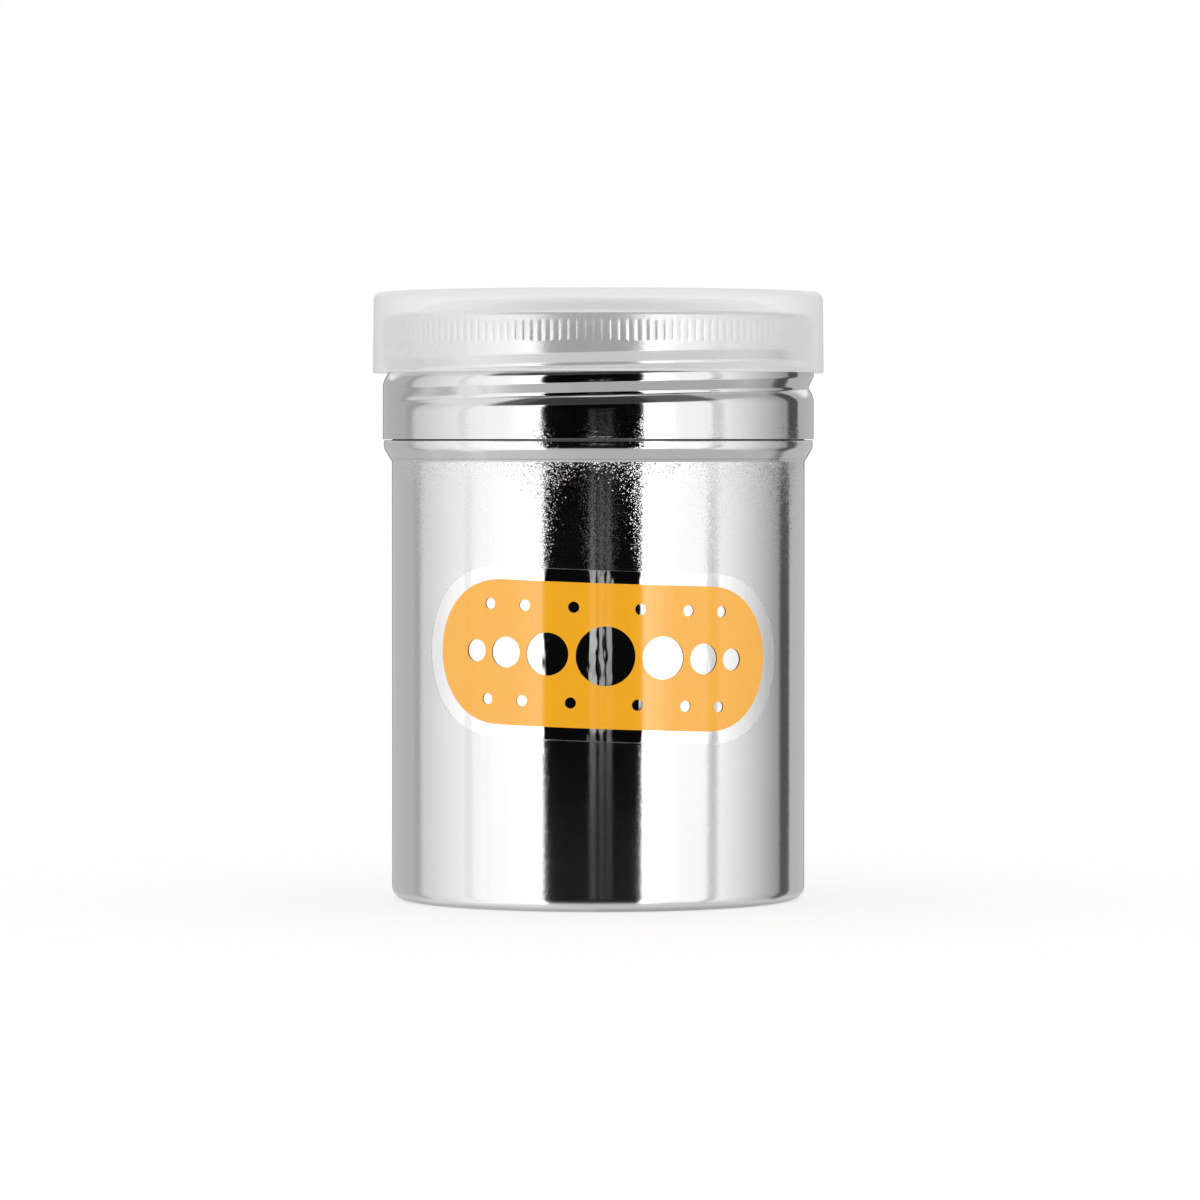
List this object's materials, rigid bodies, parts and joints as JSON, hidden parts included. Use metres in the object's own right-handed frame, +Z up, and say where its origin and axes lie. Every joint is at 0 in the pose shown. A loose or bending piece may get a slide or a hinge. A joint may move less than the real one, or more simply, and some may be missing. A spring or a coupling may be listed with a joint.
{
  "type": "spice shaker can",
  "caption": "Round stainless shaker can with a perforated screw-on cap, a slip-on translucent dust cover and a film label on its wall.",
  "frame": {"origin": "centre of the foot ring, in the plane that the can stands on", "axes": "+Z up along the can's axis, -Y towards the label's side (the front), +X to its right"},
  "size_m": [0.0698, 0.0698, 0.094],
  "materials": {
    "can_steel": "drawn stainless sheet, satin with fine speckle",
    "cap_steel": "polished stainless sheet",
    "seal": "white food-grade rubber, matt",
    "cover_plastic": "milky translucent moulded plastic, glossy",
    "label_film": "clear adhesive film, glossy",
    "label_ink": "orange ink printed on the film, slightly see-through"
  },
  "bodies": {
    "can": {"can_body": "can_steel", "label_film": "label_film", "label_print": "label_ink"},
    "seal": {"cap_seal": "seal"},
    "cap": {"shaker_cap": "cap_steel"},
    "cover": {"dust_cover": "cover_plastic"}
  },
  "joints": [
    {"name": "cap_lift", "type": "slide", "parent": "can", "child": "seal", "axis": [0, 0, 1], "range_m": [0, 0.0181]},
    {"name": "cap_turn", "type": "hinge", "parent": "seal", "child": "cap", "pos_m": [0, 0, 0], "axis": [0, 0, 1], "range_deg": [0, 1440]},
    {"name": "cover_lift", "type": "slide", "parent": "cap", "child": "cover", "axis": [0, 0, 1], "range_m": [0, 0.03]}
  ],
  "couplings": [
    {"joint": "cap_lift", "follows": "cap_turn", "m_per_rad": 0.0007162}
  ]
}
